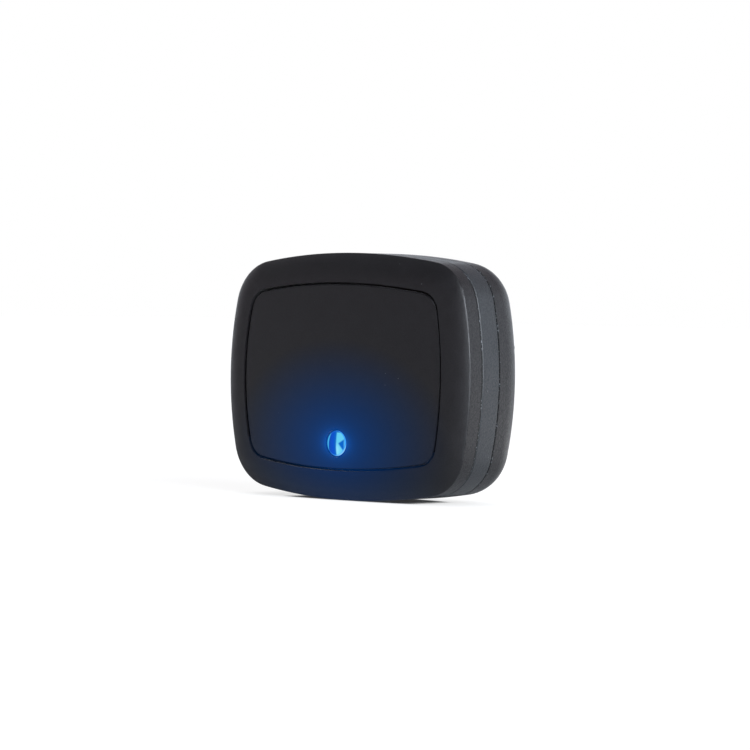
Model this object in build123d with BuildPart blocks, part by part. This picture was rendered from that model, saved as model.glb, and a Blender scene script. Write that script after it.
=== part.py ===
from build123d import *
from math import hypot, sqrt
import os

os.makedirs("parts", exist_ok=True)

# The tracker stands on its lower edge: width along X, depth along Y, height along Z.
# Depths are measured rearward from the crown of the front panel, and every place on
# the front view is measured from the middle of the housing.

# Housing outline: four bowed sides and rounded corners
width = 52.0
height = 40.0
side_bow = 2.8
end_bow = 2.35
corner_radius = 7.9

# Depth of the housing and of its two seams
front_seam = 5.7
rear_seam = 9.9
body_depth = 17.1

# Crowned front and its rolled rim
crown_radius = 200.0
rim_proud = 0.15
roll_radius = 7.0
roll_side_margin = 2.5
roll_end_margin = 1.85
roll_corner_margin = 2.2
rim_edge_radius = 0.35

# Blanks start this far in front of the crown, and the crown then trims them
front_allowance = 1.0

# Rounded rear
rear_edge_radius = 5.2

# Walls, seams and seals
wall = 1.6
rear_wall = 1.5
flange = 3.0
flange_depth = 1.0
seam_groove_width = 0.08
seam_groove_depth = 0.5
seal_inset = 1.1
seal_width = 1.0
seal_depth = 0.8
seal_side_clearance = 0.05

# Front panel, which is the push button
rim_side = 5.0
rim_end = 5.15
panel_side_bow = 1.66
panel_end_bow = 1.66
panel_corner_radius = 3.4
panel_gap = 0.36
panel_edge_radius = 0.25
panel_back = 2.4
panel_pocket_depth = 1.6
panel_pocket_margin = 5.5
panel_pocket_corner = 1.5
panel_rib = 0.8
press_travel = 0.4
travel_clearance = 0.1
deck_thickness = 1.0
guide_pin_inset = 2.2
guide_pin_z = 6.0
guide_pin_radius = 0.9
guide_clearance = 0.06
guide_head_radius = 1.3
guide_head_length = 0.95
guide_head_clearance = 0.05
guide_slot = 0.5

# Light pipe
lens_inset = 4.1
lens_radius = 2.1
lens_gap = 0.2
lens_crown_height = 0.25
lens_proud = 0.05
pipe_radius = 1.7
pipe_clearance = 0.05
pipe_flange_radius = 2.9
pipe_flange_thickness = 0.6
pipe_led_gap = 0.15
lens_boss_wall = 0.9

# Plunger, boot and switch
plunger_lens_spacing = 7.75
plunger_radius = 1.2
plunger_boss_radius = 2.4
boot_clearance = 0.02
boot_hole_radius = 2.0
boot_radius = 3.4
boot_thickness = 0.5
boot_recess_depth = 0.6
switch_size = 4.5
switch_height = 1.8
switch_stem_radius = 1.2
switch_stem_rise = 1.4
switch_stem_sink = 0.4
switch_stem_clearance = 0.1

# Main board and what is on it
board_thickness = 0.8
board_recess = 0.8
board_clearance = 0.35
ledge_width = 1.3
ledge_thickness = 1.0
boss_side_inset = 7.8
boss_end_inset = 6.8
boss_radius = 2.3
boss_board_clearance = 0.3
board_screw_inset = 5.8
board_lug_radius = 1.9
board_lug_length = 2.0
board_screw_radius = 0.6
board_screw_hole_radius = 0.75
board_screw_pilot_radius = 0.65
board_screw_reach = 1.5
board_screw_head_radius = 1.2
board_screw_head = 0.7
board_post_inset = 5.2
board_post_z = 6.0
board_post_radius = 1.0
led_width = 3.2
led_height = 2.8
led_thickness = 1.0
led_window_radius = 1.05
led_window_depth = 0.3
patch_size = 13.0
patch_thickness = 4.0
patch_boss_gap = 0.5
patch_end_inset = 5.6
patch_chamfer = 0.6
modem_width = 13.0
modem_height = 13.0
modem_thickness = 2.3
modem_x = -8.95
modem_z = 4.0
receiver_width = 9.0
receiver_height = 8.0
receiver_thickness = 1.6
receiver_x = 10.5
receiver_z = -6.5
can_edge_radius = 0.3
sounder_size = 9.0
sounder_thickness = 2.5
sounder_boss_gap = 0.9
sounder_end_inset = 6.0
sounder_port_radius = 0.8
sensor_size = 3.0
sensor_thickness = 0.9
sensor_x = 17.0
sensor_z = -6.0
sim_holder_width = 14.6
sim_holder_height = 12.0
sim_holder_thickness = 1.3
sim_holder_wall = 0.25
sim_holder_x = -6.6
sim_holder_z = 1.0
sim_width = 12.3
sim_height = 8.8
sim_thickness = 0.67
sim_notch = 1.6
aerial_span = 26.0
aerial_width = 2.3
aerial_sheet = 0.3
aerial_rise = 4.2
aerial_end_inset = 5.2

# Battery and charging
battery_side_room = 11.0
battery_upper_room = 7.0
battery_lower_room = 11.0
battery_thickness = 4.4
battery_edge_radius = 1.2
battery_pad_thickness = 0.3
battery_pad_margin = 2.0
battery_clearance = 0.2
battery_rib = 0.8
battery_rib_height = 3.0
plug_width = 5.0
plug_height = 3.4
plug_thickness = 1.5
plug_x = 10.0
plug_end_inset = 7.8
lead_radius = 0.35
lead_spacing = 1.5
lead_bend_radius = 1.2
contact_spacing = 8.0
contact_end_inset = 9.0
contact_radius = 1.4
contact_head = 0.75
contact_recess = 0.15
contact_stem_radius = 0.8
contact_stem_reach = 0.6
contact_clearance = 0.03
spring_pin_radius = 0.7
spring_base_radius = 1.0
spring_base_length = 1.6
magnet_radius = 2.0
magnet_thickness = 1.2
magnet_spacing = 21.0
magnet_end_inset = 8.0
magnet_wall = 0.7
magnet_clearance = 0.05

# Housing screws
screw_radius = 0.85
screw_hole_radius = 1.0
screw_pilot_radius = 0.9
screw_head_radius = 1.55
screw_head_thickness = 1.2
screw_recess_radius = 1.75
screw_recess_depth = 2.1
screw_skin = 0.5
screw_tip_gap = 0.3
screw_drive_radius = 0.75
screw_drive_depth = 0.6

# Collar clip on the rear
strap_width = 25.4
strap_gap = 4.8
clip_thickness = 2.2
clip_width = 12.0
clip_edge_radius = 0.5
barrel_radius = 2.1
barrel_length = 8.2
barrel_side_gap = 0.2
ear_thickness = 2.0
ear_base_spread = 1.3
clip_pin_radius = 0.8
clip_pin_clearance = 0.05
neck_clearance = 0.5
tongue_thickness = 2.2
tongue_width = 8.4
tongue_floor_gap = 0.4
keeper_gap = 0.3
keeper_thickness = 1.7
keeper_top_gap = 0.4
keeper_overlap = 1.0
detent_radius = 0.6
detent_rise = 0.2
detent_clearance = 0.05
tab_overhang = 1.75
tab_rib_pitch = 1.5
tab_rib_groove = 0.6
tab_rib_depth = 0.3
tab_rib_length = 3.2
tab_rib_count = 7
pad_margin_x = 1.6
pad_margin_z = 1.2
pad_thickness = 0.8
pad_sink = 0.5
pad_rib_pitch = 3.2
pad_rib_width = 1.0
pad_rib_rise = 0.15
pad_rib_count = 6

# Places worked out from the sizes above
clip_inner = body_depth + strap_gap
overall_depth = clip_inner + clip_thickness
front_y = -overall_depth / 2
middle_z = height / 2
deck_front = panel_back + press_travel + travel_clearance
deck_rear = deck_front + deck_thickness
board_rear = rear_seam - board_recess
board_front = board_rear - board_thickness
inner_rear = body_depth - rear_wall
switch_top = board_front - switch_height
stem_top = switch_top - switch_stem_rise
battery_rear = inner_rear - battery_pad_thickness
battery_front = battery_rear - battery_thickness
hinge_depth = overall_depth - barrel_radius
hinge_x = -strap_width / 2 - barrel_radius - ear_base_spread
tongue_x = strap_width / 2 + keeper_overlap
tab_end_x = tongue_x + tongue_thickness + tab_overhang

# Panel, and the pieces that line up with it
panel_width = width - 2 * rim_side
panel_height = height - 2 * rim_end
guide_pin_x = panel_width / 2 - guide_pin_inset
lens_drop = panel_height / 2 - lens_inset
plunger_drop = lens_drop - plunger_lens_spacing

# Posts and pieces that keep their distance from the housing's sides
boss_x = width / 2 - boss_side_inset
boss_z = height / 2 - boss_end_inset
board_screw_x = width / 2 - board_screw_inset
board_post_x = width / 2 - board_post_inset
patch_x = boss_x - boss_radius - patch_boss_gap - patch_size / 2
patch_z = height / 2 - patch_end_inset - patch_size / 2
sounder_x = -(boss_x - boss_radius - sounder_boss_gap - sounder_size / 2)
sounder_z = -(height / 2 - sounder_end_inset - sounder_size / 2)
aerial_z = height / 2 - aerial_end_inset
battery_width = width - 2 * battery_side_room
battery_height = height - battery_upper_room - battery_lower_room
battery_z = (battery_lower_room - battery_upper_room) / 2
plug_z = -(height / 2 - plug_end_inset)
contact_drop = height / 2 - contact_end_inset
magnet_drop = height / 2 - magnet_end_inset


def at_depth(depth):
    """Drawing plane at a depth, seen from the front: X to the right, local Y up."""
    return Plane(origin=(0, front_y + depth, middle_z), x_dir=(1, 0, 0), z_dir=(0, -1, 0))


def slab(face, start, end, mode=Mode.ADD):
    """Extrude a face drawn on the front view from one depth to another."""
    with BuildSketch(at_depth(start)) as profile:
        add(face)
    extrude(profile.sketch, amount=start - end, mode=mode)


def disc(radius, x, z, start, end, mode=Mode.ADD):
    """Round post, hole or disc along the depth."""
    with BuildSketch(at_depth(start)) as profile:
        with Locations((x, z)):
            Circle(radius)
    extrude(profile.sketch, amount=start - end, mode=mode)


def block(size_x, size_z, x, z, start, end, mode=Mode.ADD):
    """Rectangular block along the depth."""
    with BuildSketch(at_depth(start)) as profile:
        with Locations((x, z)):
            Rectangle(size_x, size_z)
    extrude(profile.sketch, amount=start - end, mode=mode)


def bowed_rectangle(size_x, size_z, bow_x, bow_z, corner):
    """Face with four bowed sides and rounded corners; the bows are measured at the corners."""
    corner_x = size_x / 2 - bow_x
    corner_z = size_z / 2 - bow_z
    with BuildSketch() as shape:
        with BuildLine():
            ThreePointArc((corner_x, -corner_z), (size_x / 2, 0), (corner_x, corner_z))
            ThreePointArc((corner_x, corner_z), (0, size_z / 2), (-corner_x, corner_z))
            ThreePointArc((-corner_x, corner_z), (-size_x / 2, 0), (-corner_x, -corner_z))
            ThreePointArc((-corner_x, -corner_z), (0, -size_z / 2), (corner_x, -corner_z))
        make_face()
        fillet(shape.vertices(), corner)
    return shape.sketch


def housing_outline(inset):
    """Outline of the housing moved in: each side arc keeps its centre, and the arcs cross anew."""
    side_radius = ((height / 2 - end_bow) ** 2 + side_bow**2) / (2 * side_bow)
    end_radius = ((width / 2 - side_bow) ** 2 + end_bow**2) / (2 * end_bow)
    centre_x = side_radius - width / 2
    centre_z = end_radius - height / 2
    span = hypot(centre_x, centre_z)
    along = ((side_radius - inset) ** 2 - (end_radius - inset) ** 2 + span**2) / (2 * span)
    across = sqrt((side_radius - inset) ** 2 - along**2)
    cross_x = -centre_x + (along * centre_x + across * centre_z) / span
    cross_z = (-along * centre_z + across * centre_x) / span
    return bowed_rectangle(
        width - 2 * inset,
        height - 2 * inset,
        width / 2 - inset - cross_x,
        height / 2 - inset - cross_z,
        corner_radius - inset,
    )


def edges_at(part, depth):
    """Edges that lie wholly in the plane at a depth."""
    level = front_y + depth
    return part.edges().filter_by(
        lambda edge: abs((edge @ 0).Y - level) < 0.01 and abs((edge @ 0.5).Y - level) < 0.01
        and abs((edge @ 1).Y - level) < 0.01
    )


def save(piece, name):
    """Label a finished piece and write it."""
    piece.part.label = name
    export_step(piece.part, f"parts/{name}.step")


housing_face = housing_outline(0)
panel_face = bowed_rectangle(
    panel_width, panel_height, panel_side_bow, panel_end_bow, panel_corner_radius
)
opening_face = bowed_rectangle(
    panel_width + 2 * panel_gap,
    panel_height + 2 * panel_gap,
    panel_side_bow,
    panel_end_bow,
    panel_corner_radius + panel_gap,
)
flange_face = housing_outline(flange)
corner_posts = [(x, z) for x in (-boss_x, boss_x) for z in (-boss_z, boss_z)]
guide_pins = [(x, z) for x in (-guide_pin_x, guide_pin_x) for z in (-guide_pin_z, guide_pin_z)]

# Front form: a crowned pillow larger than the housing, with a rolled edge. The housing
# outline trims it, so the roll meets the side wall in a crisp edge.
with BuildPart() as pillow:
    slab(
        bowed_rectangle(
            width + 2 * roll_side_margin,
            height + 2 * roll_end_margin,
            side_bow,
            end_bow,
            corner_radius + roll_corner_margin,
        ),
        -front_allowance,
        front_seam + roll_radius,
    )
    with Locations((0, front_y + crown_radius - rim_proud, middle_z)):
        Sphere(crown_radius, mode=Mode.INTERSECT)
    fillet(pillow.faces().sort_by(Axis.Y)[0].edges(), roll_radius)

# Front shell: rim round the panel opening, a watertight deck behind the panel, screw posts
with BuildPart() as front_shell:
    slab(housing_face, -front_allowance, front_seam)
    add(pillow.part, mode=Mode.INTERSECT)
    side_walls = front_shell.faces().filter_by(lambda face: abs(face.normal_at().Y) < 0.01)
    rim_edges = side_walls.edges().filter_by(
        lambda edge: (edge @ 0.5).Y < front_y + deck_rear and abs((edge % 0.5).Y) < 0.5
    )
    fillet(rim_edges, rim_edge_radius)
    slab(opening_face, -front_allowance, deck_front, Mode.SUBTRACT)
    slab(flange_face, deck_rear, front_seam, Mode.SUBTRACT)
    for x, z in corner_posts:
        disc(boss_radius, x, z, deck_rear, front_seam)
        disc(screw_pilot_radius, x, z, deck_front + screw_skin, front_seam, Mode.SUBTRACT)
    for x, z in guide_pins:
        disc(guide_pin_radius + guide_clearance, x, z, deck_front, deck_rear, Mode.SUBTRACT)
    disc(boot_radius + seal_side_clearance, 0, -plunger_drop, deck_front,
         deck_front + boot_recess_depth, Mode.SUBTRACT)
    disc(boot_hole_radius, 0, -plunger_drop, deck_front, deck_rear, Mode.SUBTRACT)
    disc(pipe_flange_radius + pipe_clearance, 0, -lens_drop, deck_front,
         deck_front + pipe_flange_thickness, Mode.SUBTRACT)
    disc(pipe_radius + pipe_clearance, 0, -lens_drop, deck_front, deck_rear, Mode.SUBTRACT)
save(front_shell, "front_shell")

# Mid frame: a ring between the seams, grooved for both seals, with a ledge for the board
with BuildPart() as mid_frame:
    slab(housing_face, front_seam, rear_seam)
    slab(flange_face, front_seam, rear_seam, Mode.SUBTRACT)
    ledge_front = board_front - ledge_thickness
    slab(flange_face, ledge_front, board_front)
    slab(housing_outline(flange + ledge_width), ledge_front, board_front, Mode.SUBTRACT)
    for x, z in corner_posts:
        disc(boss_radius, x, z, front_seam, rear_seam)
        disc(screw_hole_radius, x, z, front_seam, rear_seam, Mode.SUBTRACT)
    for x in (-board_screw_x, board_screw_x):
        disc(board_lug_radius, x, 0, board_front - board_lug_length, board_front)
        disc(board_screw_pilot_radius, x, 0, board_front - board_lug_length, board_front,
             Mode.SUBTRACT)
    groove_outer = housing_outline(seal_inset)
    groove_inner = housing_outline(seal_inset + seal_width)
    seam_step = housing_outline(seam_groove_depth)
    for seam, inward in ((front_seam, 1), (rear_seam, -1)):
        with BuildSketch(at_depth(seam)) as seal_groove:
            add(groove_outer)
            add(groove_inner, mode=Mode.SUBTRACT)
        extrude(seal_groove.sketch, amount=-inward * seal_depth, mode=Mode.SUBTRACT)
        with BuildSketch(at_depth(seam)) as seam_groove:
            add(housing_face)
            add(seam_step, mode=Mode.SUBTRACT)
        extrude(seam_groove.sketch, amount=-inward * seam_groove_width, mode=Mode.SUBTRACT)
save(mid_frame, "mid_frame")


def seal_ring(start):
    """Silicone ring that fills one seal groove."""
    outer = housing_outline(seal_inset + seal_side_clearance)
    inner = housing_outline(seal_inset + seal_width - seal_side_clearance)
    slab(outer, start, start + seal_depth)
    slab(inner, start, start + seal_depth, Mode.SUBTRACT)


with BuildPart() as front_seal:
    seal_ring(front_seam)
save(front_seal, "front_seal")

with BuildPart() as rear_seal:
    seal_ring(rear_seam - seal_depth)
save(rear_seal, "rear_seal")


def rear_form(inset, end_depth, edge_radius):
    """Rear housing form: straight sides that turn into the rear face in one full round."""
    with BuildPart() as form:
        slab(housing_outline(inset), rear_seam, end_depth)
        fillet(edges_at(form, end_depth), edge_radius)
    return form.part


# Rear shell: cup with screw posts, board posts, battery ribs and the clip's ears and keeper
with BuildPart() as rear_cavity:
    add(rear_form(wall, inner_rear, rear_edge_radius - wall))
    with BuildSketch(at_depth(rear_seam)) as flange_band:
        add(housing_face)
    extrude(flange_band.sketch, amount=-flange_depth, mode=Mode.SUBTRACT)

with BuildPart() as rear_shell:
    add(rear_form(0, body_depth, rear_edge_radius))
    slab(flange_face, rear_seam, rear_seam + flange_depth, Mode.SUBTRACT)
    add(rear_cavity.part, mode=Mode.SUBTRACT)
    for x, z in corner_posts:
        disc(boss_radius, x, z, rear_seam, inner_rear)
    for x in (-board_post_x, board_post_x):
        for z in (-board_post_z, board_post_z):
            disc(board_post_radius, x, z, board_rear, inner_rear)
    side_rib_x = battery_width / 2 + battery_clearance + battery_rib / 2
    lower_rib_z = battery_z - battery_height / 2 - battery_clearance - battery_rib / 2
    lower_rib_length = battery_width / 2 - plug_x - lead_spacing
    lower_rib_x = battery_width / 2 - lower_rib_length / 2
    for side in (-1, 1):
        block(battery_rib, battery_height - 2 * battery_edge_radius, side * side_rib_x, battery_z,
              inner_rear - battery_rib_height, inner_rear)
        block(lower_rib_length, battery_rib, side * lower_rib_x, lower_rib_z,
              inner_rear - battery_rib_height, inner_rear)
    for x in (-magnet_spacing / 2, magnet_spacing / 2):
        disc(magnet_radius + magnet_wall, x, -magnet_drop, inner_rear - magnet_thickness,
             inner_rear)
        disc(magnet_radius + magnet_clearance, x, -magnet_drop, inner_rear - magnet_thickness,
             inner_rear, Mode.SUBTRACT)
    for x, z in corner_posts:
        disc(screw_hole_radius, x, z, rear_seam, body_depth, Mode.SUBTRACT)
        disc(screw_recess_radius, x, z, body_depth - screw_recess_depth, body_depth,
             Mode.SUBTRACT)
    for x in (-contact_spacing / 2, contact_spacing / 2):
        disc(contact_stem_radius + contact_clearance, x, -contact_drop, inner_rear, body_depth,
             Mode.SUBTRACT)
        disc(contact_radius + contact_clearance, x, -contact_drop,
             body_depth - contact_recess - contact_head, body_depth, Mode.SUBTRACT)
    # Hinge ears: round eyes on flared roots, either side of the clip's barrel
    for side in (-1, 1):
        ear_middle = side * (barrel_length / 2 + barrel_side_gap + ear_thickness / 2)
        with BuildSketch(Plane.XY.offset(middle_z + ear_middle - ear_thickness / 2)) as ear:
            with Locations((hinge_x, front_y + hinge_depth)):
                Circle(barrel_radius)
            with BuildLine():
                root_y = front_y + body_depth
                eye_y = front_y + hinge_depth
                root_x = barrel_radius + ear_base_spread
                Polyline(
                    (hinge_x - root_x, root_y),
                    (hinge_x - barrel_radius, eye_y),
                    (hinge_x + barrel_radius, eye_y),
                    (hinge_x + root_x, root_y),
                    close=True,
                )
            make_face()
            with Locations((hinge_x, front_y + hinge_depth)):
                Circle(clip_pin_radius, mode=Mode.SUBTRACT)
        extrude(ear.sketch, amount=ear_thickness)
    # Keeper: two cheeks that the clip's tongue drops between, with detent bumps inside
    keeper_x = tongue_x + tongue_thickness / 2
    keeper_length = tongue_thickness + 2 * keeper_overlap
    keeper_z = tongue_width / 2 + keeper_gap + keeper_thickness / 2
    keeper_top = clip_inner - keeper_top_gap
    detent_depth = body_depth + (strap_gap + tongue_floor_gap) / 2
    for side in (-1, 1):
        block(keeper_length, keeper_thickness, keeper_x, side * keeper_z, body_depth, keeper_top)
    keeper_edges = edges_at(rear_shell, keeper_top)
    fillet(keeper_edges, keeper_thickness / 4)
    detent_z = tongue_width / 2 + keeper_gap + detent_radius - detent_rise
    for side in (-1, 1):
        with Locations((keeper_x, front_y + detent_depth, middle_z + side * detent_z)):
            Sphere(detent_radius)
save(rear_shell, "rear_shell")

# Front panel: crowned cap with a pocketed back, four split guide pins and the plunger
with BuildPart() as front_panel:
    slab(panel_face, -front_allowance, panel_back)
    with Locations((0, front_y + crown_radius, middle_z)):
        Sphere(crown_radius, mode=Mode.INTERSECT)
    crown = front_panel.faces().sort_by(Axis.Y)[0]
    fillet(crown.edges(), panel_edge_radius)
    pocket_x = panel_width - 2 * panel_pocket_margin
    pocket_z = panel_height - 2 * panel_pocket_margin
    pocket_face = bowed_rectangle(
        pocket_x, pocket_z, panel_side_bow, panel_end_bow, panel_pocket_corner
    )
    slab(pocket_face, panel_pocket_depth, panel_back, Mode.SUBTRACT)
    block(panel_rib, pocket_z + panel_rib, 0, 0, panel_pocket_depth, panel_back)
    block(pocket_x + panel_rib, panel_rib, 0, 0, panel_pocket_depth, panel_back)
    disc(plunger_boss_radius, 0, -plunger_drop, panel_pocket_depth, panel_back)
    disc(plunger_radius, 0, -plunger_drop, panel_back, stem_top)
    lens_hole_radius = lens_radius + lens_gap
    disc(lens_hole_radius + lens_boss_wall, 0, -lens_drop, panel_pocket_depth, panel_back)
    disc(lens_hole_radius, 0, -lens_drop, -front_allowance, panel_back, Mode.SUBTRACT)
    head_start = deck_rear + guide_head_clearance
    head_end = head_start + guide_head_length
    for x, z in guide_pins:
        disc(guide_pin_radius, x, z, panel_back, head_end)
        with BuildSketch(at_depth(head_start)) as barb:
            with Locations((x, z)):
                Circle(guide_head_radius)
        with BuildSketch(at_depth(head_end)) as barb_tip:
            with Locations((x, z)):
                Circle(guide_pin_radius - guide_clearance)
        loft([barb.sketch.face(), barb_tip.sketch.face()])
        block(2 * guide_head_radius, guide_slot, x, z, deck_front, head_end, Mode.SUBTRACT)
save(front_panel, "front_panel")

# Light pipe: clear stem bonded in the deck, with a domed lens end that fills the panel's hole
lens_rim = lens_drop**2 / (2 * crown_radius) - lens_proud + lens_crown_height
dome_radius = (lens_radius**2 + lens_crown_height**2) / (2 * lens_crown_height)
dome_depth = lens_rim - lens_crown_height + dome_radius
with BuildPart() as light_pipe:
    disc(lens_radius, 0, -lens_drop, -front_allowance, deck_front)
    with Locations((0, front_y + dome_depth, middle_z - lens_drop)):
        Sphere(dome_radius, mode=Mode.INTERSECT)
    disc(pipe_flange_radius, 0, -lens_drop, deck_front, deck_front + pipe_flange_thickness)
    disc(pipe_radius, 0, -lens_drop, deck_front, board_front - led_thickness - pipe_led_gap)
save(light_pipe, "light_pipe")

# Button boot: silicone washer that seals the plunger's hole
with BuildPart() as button_boot:
    boot_start = deck_front + boot_recess_depth - boot_thickness
    disc(boot_radius, 0, -plunger_drop, boot_start, boot_start + boot_thickness)
    disc(plunger_radius + boot_clearance, 0, -plunger_drop, boot_start,
         boot_start + boot_thickness, Mode.SUBTRACT)
save(button_boot, "button_boot")

# Main board: follows the housing, notched round the screw posts
with BuildPart() as main_board:
    slab(housing_outline(flange + board_clearance), board_front, board_rear)
    for x, z in corner_posts:
        disc(boss_radius + boss_board_clearance, x, z, board_front, board_rear, Mode.SUBTRACT)
    for x in (-board_screw_x, board_screw_x):
        disc(board_screw_hole_radius, x, 0, board_front, board_rear, Mode.SUBTRACT)
save(main_board, "main_board")

# Board screws: small pan heads behind the board
with BuildPart() as board_screws:
    for x in (-board_screw_x, board_screw_x):
        disc(board_screw_head_radius, x, 0, board_rear, board_rear + board_screw_head)
        disc(board_screw_radius, x, 0, board_front - board_screw_reach, board_rear)
save(board_screws, "board_screws")

# Tactile switch under the plunger: body with a recess, and the stem that sinks into it
with BuildPart() as tact_switch:
    block(switch_size, switch_size, 0, -plunger_drop, switch_top, board_front)
    sink = press_travel + switch_stem_sink + travel_clearance
    disc(switch_stem_radius + switch_stem_clearance, 0, -plunger_drop, switch_top,
         switch_top + sink, Mode.SUBTRACT)
save(tact_switch, "tact_switch")

with BuildPart() as switch_stem:
    disc(switch_stem_radius, 0, -plunger_drop, stem_top, switch_top + switch_stem_sink)
save(switch_stem, "switch_stem")

# Indicator: surface-mount lamp with a round window under the light pipe
with BuildPart() as indicator_led:
    block(led_width, led_height, 0, -lens_drop, board_front - led_thickness, board_front)
    disc(led_window_radius, 0, -lens_drop, board_front - led_thickness,
         board_front - led_thickness + led_window_depth, Mode.SUBTRACT)
save(indicator_led, "indicator_led")

# Satellite antenna: square ceramic patch with a clipped corner
with BuildPart() as satellite_antenna:
    block(patch_size, patch_size, patch_x, patch_z, board_front - patch_thickness, board_front)
    corner = satellite_antenna.edges().filter_by(Axis.Y).sort_by(Axis.X)[-2:].sort_by(Axis.Z)[-1]
    chamfer(corner, patch_chamfer)
save(satellite_antenna, "satellite_antenna")


def shield_can(size_x, size_z, x, z, thickness):
    """Drawn metal can with rounded corners and a rounded lid edge."""
    with BuildPart() as can:
        block(size_x, size_z, x, z, board_front - thickness, board_front)
        fillet(can.edges().filter_by(Axis.Y), 2 * can_edge_radius)
        fillet(edges_at(can, board_front - thickness), can_edge_radius)
    return can.part


with BuildPart() as cellular_module:
    add(shield_can(modem_width, modem_height, modem_x, modem_z, modem_thickness))
save(cellular_module, "cellular_module")

with BuildPart() as satellite_receiver:
    add(shield_can(receiver_width, receiver_height, receiver_x, receiver_z, receiver_thickness))
save(satellite_receiver, "satellite_receiver")

# Sounder: square piezo case with a sound port
with BuildPart() as sounder:
    sounder_front = board_front - sounder_thickness
    block(sounder_size, sounder_size, sounder_x, sounder_z, sounder_front, board_front)
    disc(sounder_port_radius, sounder_x, sounder_z, sounder_front, board_front - sounder_port_radius,
         Mode.SUBTRACT)
save(sounder, "sounder")

with BuildPart() as motion_sensor:
    block(sensor_size, sensor_size, sensor_x, sensor_z, board_front - sensor_thickness, board_front)
save(motion_sensor, "motion_sensor")

# SIM holder: thin pressed frame behind the board, open at one end for the card
with BuildPart() as sim_holder:
    block(sim_holder_width, sim_holder_height, sim_holder_x, sim_holder_z, board_rear,
          board_rear + sim_holder_thickness)
    slot_start = board_rear + sim_holder_thickness - sim_holder_wall - sim_thickness
    block(sim_width + 2 * sim_holder_wall, sim_height + 2 * sim_holder_wall, sim_holder_x,
          sim_holder_z, slot_start, slot_start + sim_thickness, Mode.SUBTRACT)
    block(sim_holder_width / 2, sim_height - 2 * sim_holder_wall,
          sim_holder_x - sim_holder_width / 2, sim_holder_z, slot_start,
          slot_start + sim_thickness, Mode.SUBTRACT)
save(sim_holder, "sim_holder")

with BuildPart() as sim_card:
    block(sim_width, sim_height, sim_holder_x, sim_holder_z, slot_start,
          slot_start + sim_thickness)
    corner = sim_card.edges().filter_by(Axis.Y).sort_by(Axis.X)[-2:].sort_by(Axis.Z)[0]
    chamfer(corner, sim_notch)
save(sim_card, "sim_card")

# Cellular antenna: folded metal strip that stands on the board behind its upper edge
with BuildPart() as cellular_antenna:
    block(aerial_span, aerial_width, 0, aerial_z, board_rear, board_rear + aerial_rise)
    block(aerial_span - 2 * aerial_sheet, aerial_width, 0, aerial_z, board_rear,
          board_rear + aerial_rise - aerial_sheet, Mode.SUBTRACT)
save(cellular_antenna, "cellular_antenna")

# Battery: soft-cornered pouch cell, taped to the rear wall
with BuildPart() as battery_cell:
    block(battery_width, battery_height, 0, battery_z, battery_front, battery_rear)
    fillet(battery_cell.edges().filter_by(Axis.Z), battery_edge_radius)
save(battery_cell, "battery_cell")

with BuildPart() as battery_pad:
    block(battery_width - 2 * battery_pad_margin, battery_height - 2 * battery_pad_margin, 0,
          battery_z, battery_rear, inner_rear)
save(battery_pad, "battery_pad")

with BuildPart() as battery_plug:
    block(plug_width, plug_height, plug_x, plug_z, board_rear, board_rear + plug_thickness)
    fillet(edges_at(battery_plug, board_rear + plug_thickness), plug_thickness / 5)
save(battery_plug, "battery_plug")

# Battery leads: two short wires from the cell's lower edge round to the plug
with BuildPart() as battery_leads:
    lead_depth = (battery_front + battery_rear) / 2
    lead_top = middle_z + battery_z - battery_height / 2
    for side in (-1, 1):
        lead_x = plug_x + side * lead_spacing / 2
        with BuildLine() as route:
            FilletPolyline(
                (lead_x, front_y + lead_depth, lead_top),
                (lead_x, front_y + lead_depth, middle_z + plug_z),
                (lead_x, front_y + board_rear + plug_thickness, middle_z + plug_z),
                radius=lead_bend_radius,
            )
        with BuildSketch(Plane(origin=route.line @ 0, z_dir=route.line % 0)) as section:
            Circle(lead_radius)
        sweep(section.sketch, path=route.line)
save(battery_leads, "battery_leads")

# Charging contacts: stepped pads in the rear wall, met by spring pins on the board
with BuildPart() as contact_pads:
    pad_outer = body_depth - contact_recess
    pad_inner = inner_rear - contact_stem_reach
    for x in (-contact_spacing / 2, contact_spacing / 2):
        disc(contact_radius, x, -contact_drop, pad_outer - contact_head, pad_outer)
        disc(contact_stem_radius, x, -contact_drop, pad_inner, pad_outer - contact_head)
save(contact_pads, "contact_pads")

with BuildPart() as contact_springs:
    for x in (-contact_spacing / 2, contact_spacing / 2):
        disc(spring_base_radius, x, -contact_drop, board_rear, board_rear + spring_base_length)
        disc(spring_pin_radius, x, -contact_drop, board_rear, pad_inner)
save(contact_springs, "contact_springs")

# Magnets that seat the charging lead
with BuildPart() as charging_magnets:
    for x in (-magnet_spacing / 2, magnet_spacing / 2):
        disc(magnet_radius, x, -magnet_drop, inner_rear - magnet_thickness, inner_rear)
save(charging_magnets, "charging_magnets")

# Housing screws: from the rear, through the mid frame, into the front shell
with BuildPart() as housing_screws:
    head_seat = body_depth - screw_recess_depth
    for x, z in corner_posts:
        disc(screw_head_radius, x, z, head_seat, head_seat + screw_head_thickness)
        disc(screw_radius, x, z, deck_front + screw_skin + screw_tip_gap, head_seat)
        with BuildSketch(at_depth(head_seat + screw_head_thickness)) as drive:
            with Locations((x, z)):
                RegularPolygon(screw_drive_radius, 6)
        extrude(drive.sketch, amount=screw_drive_depth, mode=Mode.SUBTRACT)
save(housing_screws, "housing_screws")

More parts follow.
